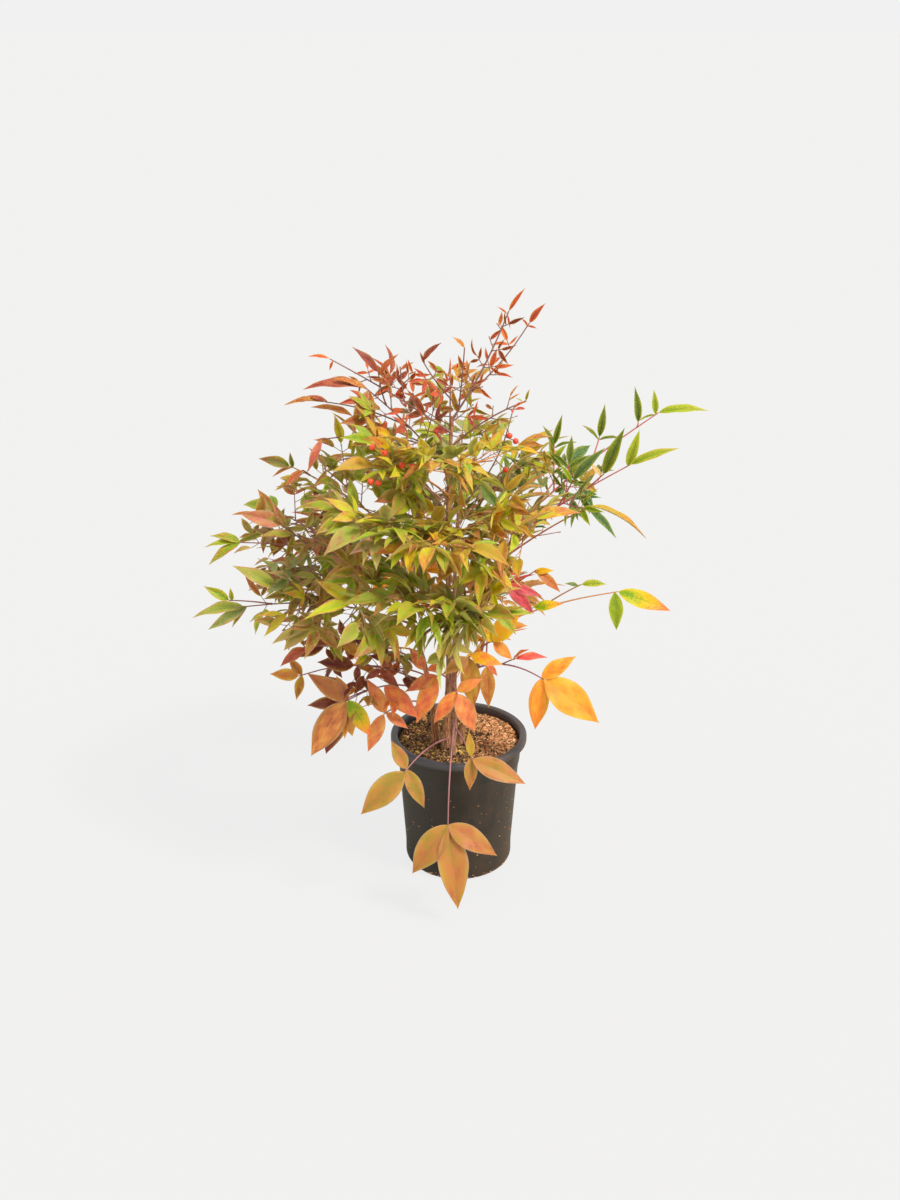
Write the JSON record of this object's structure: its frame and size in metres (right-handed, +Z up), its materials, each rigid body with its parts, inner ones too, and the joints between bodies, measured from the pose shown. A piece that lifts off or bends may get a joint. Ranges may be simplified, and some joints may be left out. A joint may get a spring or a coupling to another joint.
{
  "type": "potted heavenly bamboo",
  "caption": "Heavenly bamboo shrub with brown canes and arching compound leaves in green, gold and autumn red, some berries, in a round black nursery pot that stands on its flat underside",
  "frame": {"origin": "centre of the pot's flat underside, on the ground", "axes": "+Z up along the plant's height, +X to the right of the plant seen from its front, +Y away from the front: the leaves that hang over the pot's front point to -Y"},
  "size_m": [0.5822, 0.4729, 0.7074],
  "materials": {
    "pot": "matte",
    "soil": "matte",
    "cane": "matte",
    "leaf_olive": "satin",
    "leaf_green": "satin",
    "leaf_lime": "satin",
    "leaf_deep_green": "satin",
    "leaf_bronze": "satin",
    "leaf_copper": "satin",
    "leaf_flame": "satin",
    "leaf_scarlet": "satin",
    "leaf_salmon": "satin",
    "leaf_amber": "satin",
    "leaf_gold": "satin",
    "leaf_tan": "satin",
    "leaf_plum": "satin",
    "berry": "satin"
  },
  "bodies": {
    "root": {"pot": "pot", "soil": "soil", "cane_tall": "cane", "cane_left": "cane", "cane_right": "cane", "cane_front": "cane", "cane_back": "cane", "cane_low": "cane", "left_low": "leaf_olive", "left_mid": "leaf_olive", "left_front": "leaf_green", "left_high": "leaf_green", "left_crest": "leaf_bronze", "left_sprig": "leaf_flame", "plume": "leaf_flame", "plume_back": "leaf_copper", "right_sprig": "leaf_copper", "right_high": "leaf_deep_green", "right_mid": "leaf_deep_green", "right_low": "leaf_gold", "right_back": "leaf_green", "right_front": "leaf_lime", "right_thin": "leaf_lime", "low_amber": "leaf_amber", "low_gold": "leaf_gold", "low_scarlet": "leaf_scarlet", "low_plum": "leaf_plum", "low_plum_inner": "leaf_plum", "low_amber_left": "leaf_tan", "low_ochre": "leaf_tan", "low_salmon": "leaf_salmon", "low_olive": "leaf_lime", "low_orange": "leaf_salmon", "rim_left": "leaf_tan", "rim_right": "leaf_tan", "rim_hanging": "leaf_tan", "front_low": "leaf_green", "front_low_left": "leaf_green", "front_low_right": "leaf_lime", "front_mid": "leaf_lime", "front_mid_left": "leaf_green", "front_mid_right": "leaf_lime", "front_upper_left": "leaf_gold", "front_high": "leaf_gold", "front_high_right": "leaf_gold", "back_high": "leaf_green", "back_left": "leaf_olive", "back_right": "leaf_green", "back_mid": "leaf_olive", "back_mid_right": "leaf_green", "back_low_left": "leaf_bronze", "back_low": "leaf_amber", "back_low_right": "leaf_tan", "fruit_right": "berry", "fruit_left": "berry"}
  },
  "joints": []
}
